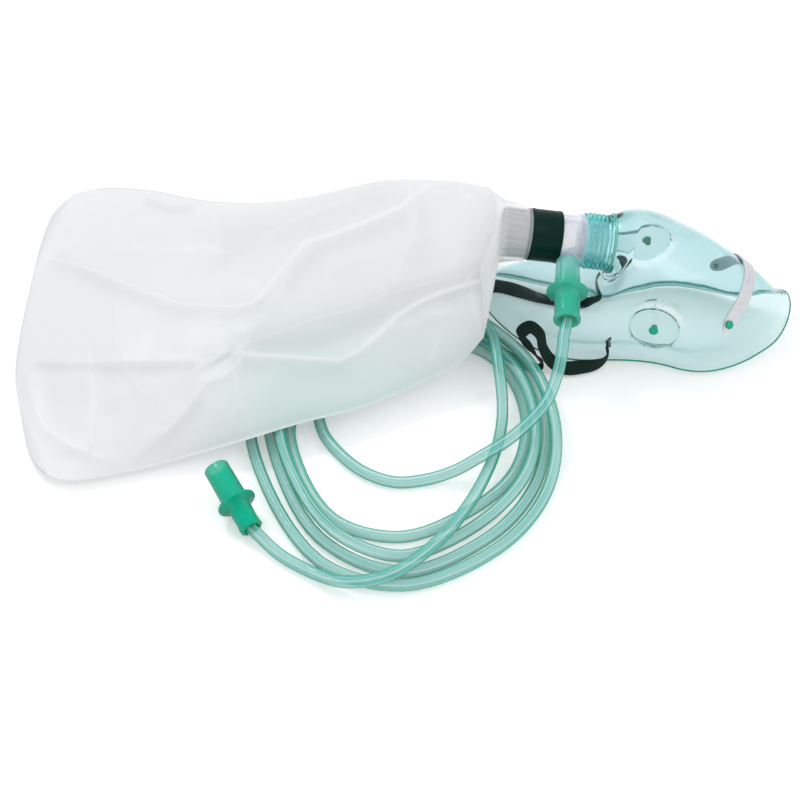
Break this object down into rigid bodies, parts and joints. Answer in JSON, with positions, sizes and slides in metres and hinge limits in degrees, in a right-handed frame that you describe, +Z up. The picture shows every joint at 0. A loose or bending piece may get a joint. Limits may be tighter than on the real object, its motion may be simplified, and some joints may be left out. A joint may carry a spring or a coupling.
{
  "type": "oxygen face mask",
  "caption": "Clear oxygen face mask with a reservoir bag, side valves, a nose clip, a head strap and coiled tubing ending in a push-fit connector, laid flat.",
  "frame": {"origin": "on the table under the middle of the mask, strap and bag, without the tubing", "axes": "+X from the bag to the nose of the mask, +Y across the bag away from the coiled tubing, +Z up"},
  "size_m": [0.3808, 0.2908, 0.0745],
  "materials": {
    "mask_vinyl": "clear pale aqua vinyl",
    "valve_silicone": "thin clear silicone",
    "clip_aluminium": "soft brushed strip",
    "strap_elastic": "dark green woven elastic",
    "clear_plastic": "clear rigid plastic",
    "sleeve_vinyl": "dark green soft vinyl",
    "bag_film": "frosted clear film",
    "connector_vinyl": "green soft vinyl",
    "tube_vinyl": "clear pale green vinyl"
  },
  "bodies": {
    "root": {"mask_shell": "mask_vinyl", "exhalation_valve_near": "valve_silicone", "exhalation_valve_far": "valve_silicone", "nose_clip": "clip_aluminium", "elastic_strap": "strap_elastic", "valve_adapter": "clear_plastic", "inhalation_valve": "valve_silicone", "bag_sleeve": "sleeve_vinyl", "bag_collar": "clear_plastic", "reservoir_bag": "bag_film", "inlet_connector": "connector_vinyl", "tubing": "tube_vinyl", "end_connector": "connector_vinyl"}
  },
  "joints": []
}
